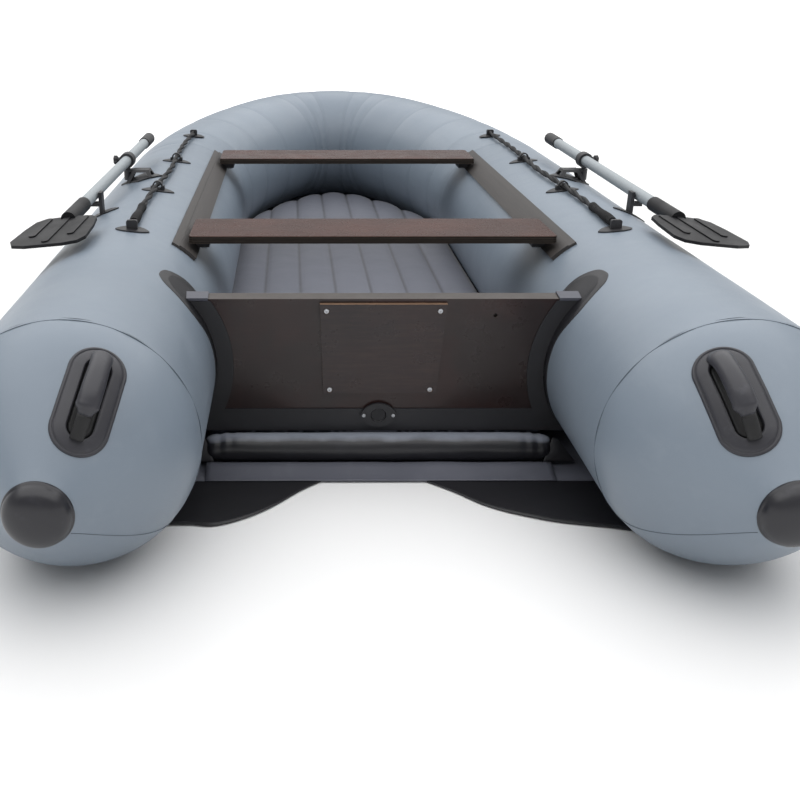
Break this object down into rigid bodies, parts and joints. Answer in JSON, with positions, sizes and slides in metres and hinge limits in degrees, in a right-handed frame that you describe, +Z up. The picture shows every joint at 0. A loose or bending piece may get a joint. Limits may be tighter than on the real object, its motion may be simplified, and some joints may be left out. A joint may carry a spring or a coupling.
{
  "type": "inflatable dinghy",
  "caption": "Inflatable dinghy with blue-grey tubes, cone sterns with carry handles, raked wooden transom, sliding bench seats on rails, lifelines and stowed oars in swivelling rowlocks.",
  "frame": {"origin": "under the middle of the boat, on the surface it lies on", "axes": "+Y towards the bow, +X to starboard, +Z up"},
  "size_m": [1.674, 3.5918, 0.5513],
  "materials": {
    "tube_fabric": "satin blue-grey coated cloth",
    "baffle_fabric": "matte coated cloth",
    "strake_rubber": "matte black",
    "floor_fabric": "matte grey coated cloth",
    "bottom_fabric": "matte black coated cloth",
    "board_plywood": "dark brown film-faced, semi-gloss",
    "pad_plywood": "dark brown film-faced, ochre edge",
    "edge_rubber": "matte black",
    "steel": "bright",
    "black_plastic": "matte black moulded",
    "flap_rubber": "matte black",
    "rail_plastic": "matte dark brown-grey",
    "slider_aluminium": "satin",
    "handle_rubber": "matte black moulded",
    "rope": "braided black",
    "oar_aluminium": "satin silver",
    "oar_plastic": "matte black moulded"
  },
  "bodies": {
    "hull": {"bench_rails": "rail_plastic", "bottom_sheet": "bottom_fabric", "bottom_strip": "edge_rubber", "bow_bottom_panels": "bottom_fabric", "bow_handle": "handle_rubber", "bow_tube": "tube_fabric", "carry_handle_port": "handle_rubber", "carry_handle_stbd": "handle_rubber", "chamber_baffles": "baffle_fabric", "cone_caps": "strake_rubber", "corner_caps": "tube_fabric", "drain_flange": "black_plastic", "drain_screws": "steel", "edge_holders": "edge_rubber", "floor_pad": "floor_fabric", "leaf_patches": "bottom_fabric", "lifeline_eyes": "black_plastic", "lifeline_guides": "black_plastic", "lifeline_port": "rope", "lifeline_stbd": "rope", "motor_pad": "pad_plywood", "oar_clips": "black_plastic", "pad_screws": "steel", "rowlock_brackets": "black_plastic", "rub_strake": "strake_rubber", "side_tube_port": "tube_fabric", "side_tube_stbd": "tube_fabric", "stern_cone_port": "tube_fabric", "stern_cone_stbd": "tube_fabric", "stern_flaps": "bottom_fabric", "stern_roll": "bottom_fabric", "tow_patch": "black_plastic", "transom_board": "board_plywood", "valve_bodies": "black_plastic"},
    "bench_aft": {"bench_aft": "board_plywood", "bench_sliders_aft": "slider_aluminium", "bench_bolts_aft": "steel"},
    "bench_fwd": {"bench_fwd": "board_plywood", "bench_sliders_fwd": "slider_aluminium", "bench_bolts_fwd": "steel"},
    "drain_flap": {"drain_flap": "flap_rubber"},
    "tow_ring": {"tow_ring": "steel"},
    "rowlock_port": {"rowlock_collar_port": "black_plastic"},
    "rowlock_knob_port": {"rowlock_knob_port": "black_plastic"},
    "oar_port": {"oar_shaft_inner_port": "oar_aluminium", "oar_shaft_outer_port": "oar_aluminium", "oar_spigot_port": "oar_aluminium", "oar_grip_port": "oar_plastic", "oar_blade_port": "oar_plastic"},
    "valve_cap_port": {"valve_cap_port": "black_plastic"},
    "rowlock_stbd": {"rowlock_collar_stbd": "black_plastic"},
    "rowlock_knob_stbd": {"rowlock_knob_stbd": "black_plastic"},
    "oar_stbd": {"oar_shaft_inner_stbd": "oar_aluminium", "oar_shaft_outer_stbd": "oar_aluminium", "oar_spigot_stbd": "oar_aluminium", "oar_grip_stbd": "oar_plastic", "oar_blade_stbd": "oar_plastic"},
    "valve_cap_stbd": {"valve_cap_stbd": "black_plastic"}
  },
  "joints": [
    {"name": "bench_aft_slide", "type": "slide", "parent": "hull", "child": "bench_aft", "axis": [0, 1, 0], "range_m": [0, 0.4]},
    {"name": "bench_fwd_slide", "type": "slide", "parent": "hull", "child": "bench_fwd", "axis": [0, -1, 0], "range_m": [0, 0.4]},
    {"name": "rowlock_stbd_swivel", "type": "hinge", "parent": "hull", "child": "rowlock_stbd", "pos_m": [0.684, -0.16095, 0.518], "axis": [0, 0, 1], "range_deg": [0, 95]},
    {"name": "oar_stbd_feather", "type": "hinge", "parent": "rowlock_stbd", "child": "oar_stbd", "pos_m": [0.684, -0.16095, 0.518], "axis": [-0.0592, 0.9972, 0.0453], "range_deg": [-12, 40]},
    {"name": "rowlock_knob_stbd_turn", "type": "hinge", "parent": "rowlock_stbd", "child": "rowlock_knob_stbd", "pos_m": [0.684, -0.16095, 0.518], "axis": [0.9982, 0.0593, 0], "range_deg": [0, 180]},
    {"name": "valve_cap_stbd_turn", "type": "hinge", "parent": "hull", "child": "valve_cap_stbd", "pos_m": [0.35, -0.98095, 0.235], "axis": [-1, 0, 0], "range_deg": [0, 180]},
    {"name": "rowlock_port_swivel", "type": "hinge", "parent": "hull", "child": "rowlock_port", "pos_m": [-0.684, -0.16095, 0.518], "axis": [0, 0, -1], "range_deg": [0, 95]},
    {"name": "oar_port_feather", "type": "hinge", "parent": "rowlock_port", "child": "oar_port", "pos_m": [-0.684, -0.16095, 0.518], "axis": [-0.0592, -0.9972, -0.0453], "range_deg": [-12, 40]},
    {"name": "rowlock_knob_port_turn", "type": "hinge", "parent": "rowlock_port", "child": "rowlock_knob_port", "pos_m": [-0.684, -0.16095, 0.518], "axis": [-0.9982, 0.0593, 0], "range_deg": [0, 180]},
    {"name": "valve_cap_port_turn", "type": "hinge", "parent": "hull", "child": "valve_cap_port", "pos_m": [-0.35, -0.98095, 0.235], "axis": [1, 0, 0], "range_deg": [0, 180]},
    {"name": "drain_flap_hinge", "type": "hinge", "parent": "hull", "child": "drain_flap", "pos_m": [0, -1.11409, 0.12696], "axis": [-1, 0, 0], "range_deg": [0, 60]},
    {"name": "tow_ring_hinge", "type": "hinge", "parent": "hull", "child": "tow_ring", "pos_m": [0, 1.77689, 0.22], "axis": [1, 0, 0], "range_deg": [0, 80]}
  ]
}
